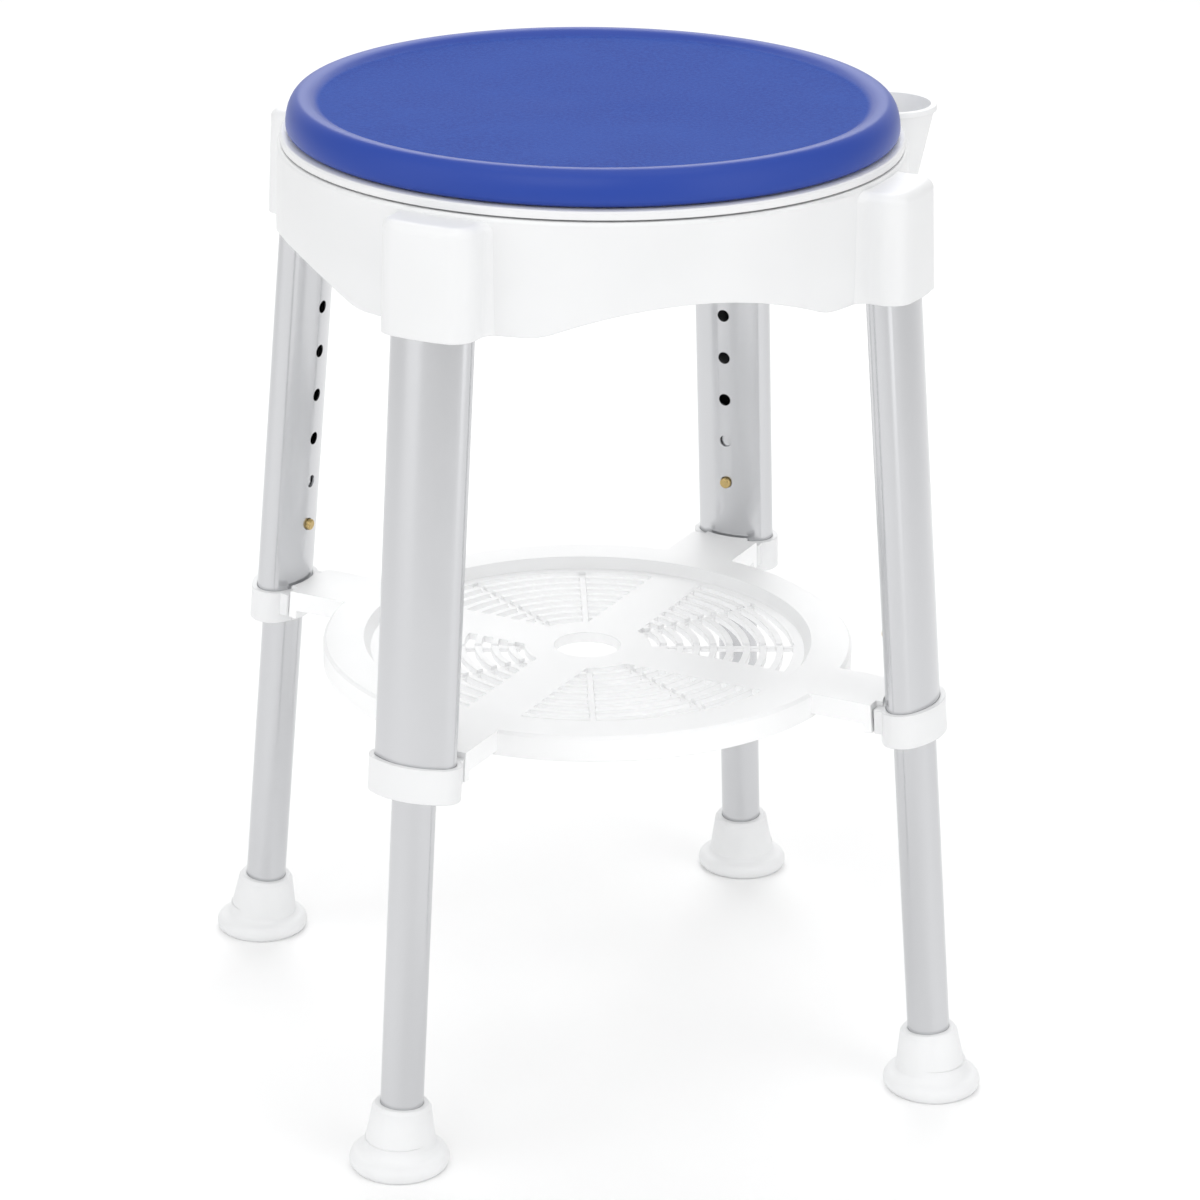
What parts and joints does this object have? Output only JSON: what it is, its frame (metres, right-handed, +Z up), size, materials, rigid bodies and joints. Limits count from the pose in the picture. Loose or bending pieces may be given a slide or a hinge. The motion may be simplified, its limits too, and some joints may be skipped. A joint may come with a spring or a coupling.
{
  "type": "shower stool",
  "caption": "Round padded shower stool with a swivel seat, splayed height-adjustable tube legs, rubber feet, a round shelf tray and a hand-shower holder cup.",
  "frame": {"origin": "on the floor, midway between the four feet and under the swivel axis", "axes": "+Z up along the swivel axis, +X towards the side with the hand-shower holder, -Y towards the front"},
  "size_m": [0.3817, 0.346, 0.516],
  "materials": {
    "pad_foam": "matte blue closed-cell foam skin, finely grained",
    "white_plastic": "satin white moulded plastic",
    "cream_plastic": "natural low-friction plastic",
    "anodised": "satin anodised, fine lengthwise grain",
    "inner_tube": "satin anodised, fine lengthwise grain",
    "guide_plastic": "dark plastic",
    "foot_rubber": "matte off-white rubber",
    "button_brass": "plain brass",
    "spring_steel": "spring steel",
    "screw_steel": "stainless steel"
  },
  "bodies": {
    "frame": {"seat_base": "white_plastic", "pivot_bush": "cream_plastic", "glide_ring": "cream_plastic", "shelf_tray": "white_plastic", "collar_screws": "screw_steel", "socket_screws": "screw_steel", "shower_head_holder": "white_plastic", "holder_screws": "screw_steel", "upper_leg_fl": "anodised", "leg_bush_fl": "cream_plastic", "collar_strap_fl": "white_plastic", "upper_leg_fr": "anodised", "leg_bush_fr": "cream_plastic", "collar_strap_fr": "white_plastic", "upper_leg_br": "anodised", "leg_bush_br": "cream_plastic", "collar_strap_br": "white_plastic", "upper_leg_bl": "anodised", "leg_bush_bl": "cream_plastic", "collar_strap_bl": "white_plastic"},
    "seat": {"swivel_plate": "white_plastic", "seat_cushion": "pad_foam", "pivot_washer": "screw_steel", "pivot_screw": "screw_steel", "cushion_screws": "screw_steel"},
    "leg_fl": {"lower_leg_fl": "inner_tube", "leg_top_guide_fl": "guide_plastic", "foot_washer_fl": "screw_steel", "foot_fl": "foot_rubber", "button_spring_fl": "spring_steel"},
    "button_fl": {"snap_button_fl": "button_brass"},
    "leg_fr": {"lower_leg_fr": "inner_tube", "leg_top_guide_fr": "guide_plastic", "foot_washer_fr": "screw_steel", "foot_fr": "foot_rubber", "button_spring_fr": "spring_steel"},
    "button_fr": {"snap_button_fr": "button_brass"},
    "leg_br": {"lower_leg_br": "inner_tube", "leg_top_guide_br": "guide_plastic", "foot_washer_br": "screw_steel", "foot_br": "foot_rubber", "button_spring_br": "spring_steel"},
    "button_br": {"snap_button_br": "button_brass"},
    "leg_bl": {"lower_leg_bl": "inner_tube", "leg_top_guide_bl": "guide_plastic", "foot_washer_bl": "screw_steel", "foot_bl": "foot_rubber", "button_spring_bl": "spring_steel"},
    "button_bl": {"snap_button_bl": "button_brass"}
  },
  "joints": [
    {"name": "seat_swivel", "type": "hinge", "parent": "frame", "child": "seat", "pos_m": [0, 0, 0.49], "axis": [0, 0, 1], "continuous": true},
    {"name": "leg_fl_slide", "type": "slide", "parent": "frame", "child": "leg_fl", "axis": [0.063, 0.063, 0.996], "range_m": [0, 0.1524]},
    {"name": "button_fl_press", "type": "slide", "parent": "leg_fl", "child": "button_fl", "axis": [-0.7043, -0.7043, 0.0891], "range_m": [0, 0.004], "stiffness_N_per_m": 1500, "springref_m": -0.004},
    {"name": "leg_fr_slide", "type": "slide", "parent": "frame", "child": "leg_fr", "axis": [-0.063, 0.063, 0.996], "range_m": [0, 0.1524]},
    {"name": "button_fr_press", "type": "slide", "parent": "leg_fr", "child": "button_fr", "axis": [0.7043, -0.7043, 0.0891], "range_m": [0, 0.004], "stiffness_N_per_m": 1500, "springref_m": -0.004},
    {"name": "leg_br_slide", "type": "slide", "parent": "frame", "child": "leg_br", "axis": [-0.063, -0.063, 0.996], "range_m": [0, 0.1524]},
    {"name": "button_br_press", "type": "slide", "parent": "leg_br", "child": "button_br", "axis": [0.7043, 0.7043, 0.0891], "range_m": [0, 0.004], "stiffness_N_per_m": 1500, "springref_m": -0.004},
    {"name": "leg_bl_slide", "type": "slide", "parent": "frame", "child": "leg_bl", "axis": [0.063, -0.063, 0.996], "range_m": [0, 0.1524]},
    {"name": "button_bl_press", "type": "slide", "parent": "leg_bl", "child": "button_bl", "axis": [-0.7043, 0.7043, 0.0891], "range_m": [0, 0.004], "stiffness_N_per_m": 1500, "springref_m": -0.004}
  ]
}
